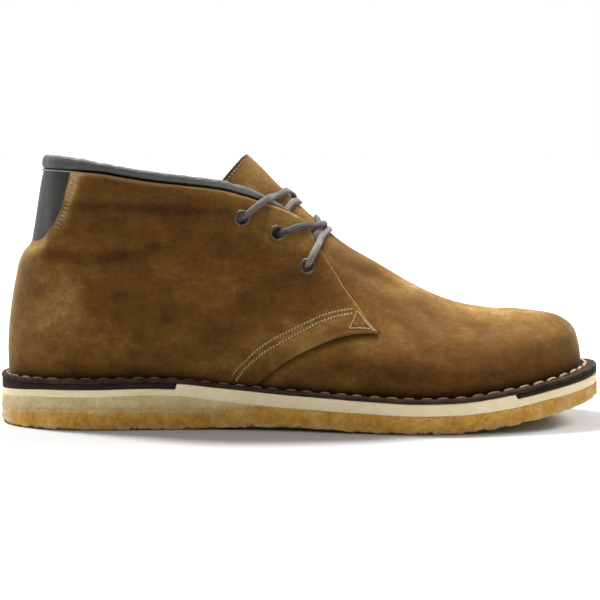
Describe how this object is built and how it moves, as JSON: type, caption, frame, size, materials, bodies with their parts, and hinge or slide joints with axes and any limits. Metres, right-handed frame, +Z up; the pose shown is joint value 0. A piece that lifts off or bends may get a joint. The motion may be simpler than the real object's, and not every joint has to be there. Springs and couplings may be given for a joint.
{
  "type": "chukka boot",
  "caption": "Right ankle-high lace-up desert boot: hollow suede upper, padded collar, heel tab, tongue, laced eyelets, stitched welt and layered crepe sole.",
  "frame": {"origin": "centre of the footprint, at the lowest plane of the sole, with the bounding box centred over it", "axes": "+X towards the toe, +Y towards the medial side, which is the wearer's left, +Z up from the floor"},
  "size_m": [0.2994, 0.1058, 0.1335],
  "materials": {
    "crepe_amber": "matte crumbled crepe",
    "crepe_pale": "matte crepe",
    "midsole_cream": "satin cut edge",
    "insert_black": "matte",
    "welt_brown": "matte stitched",
    "suede_tan": "brushed suede nap",
    "leather_grey": "pebbled satin",
    "insole_leather": "smooth matte",
    "eyelet_brass": "antique, worn",
    "lace_grey": "flat woven and waxed"
  },
  "bodies": {
    "root": {"outsole": "crepe_amber", "heel_wedge": "crepe_pale", "midsole": "midsole_cream", "heel_insert": "insert_black", "toe_insert": "insert_black", "welt": "welt_brown", "upper": "suede_tan", "insole": "insole_leather", "tongue": "suede_tan", "heel_tab": "leather_grey", "collar_binding": "leather_grey", "eyelet_lateral_1": "eyelet_brass", "eyelet_lateral_2": "eyelet_brass", "eyelet_lateral_3": "eyelet_brass", "eyelet_medial_1": "eyelet_brass", "eyelet_medial_2": "eyelet_brass", "eyelet_medial_3": "eyelet_brass", "lace_crossing_top": "lace_grey", "lace_crossing_low": "lace_grey", "lace_bar": "lace_grey"}
  },
  "joints": []
}
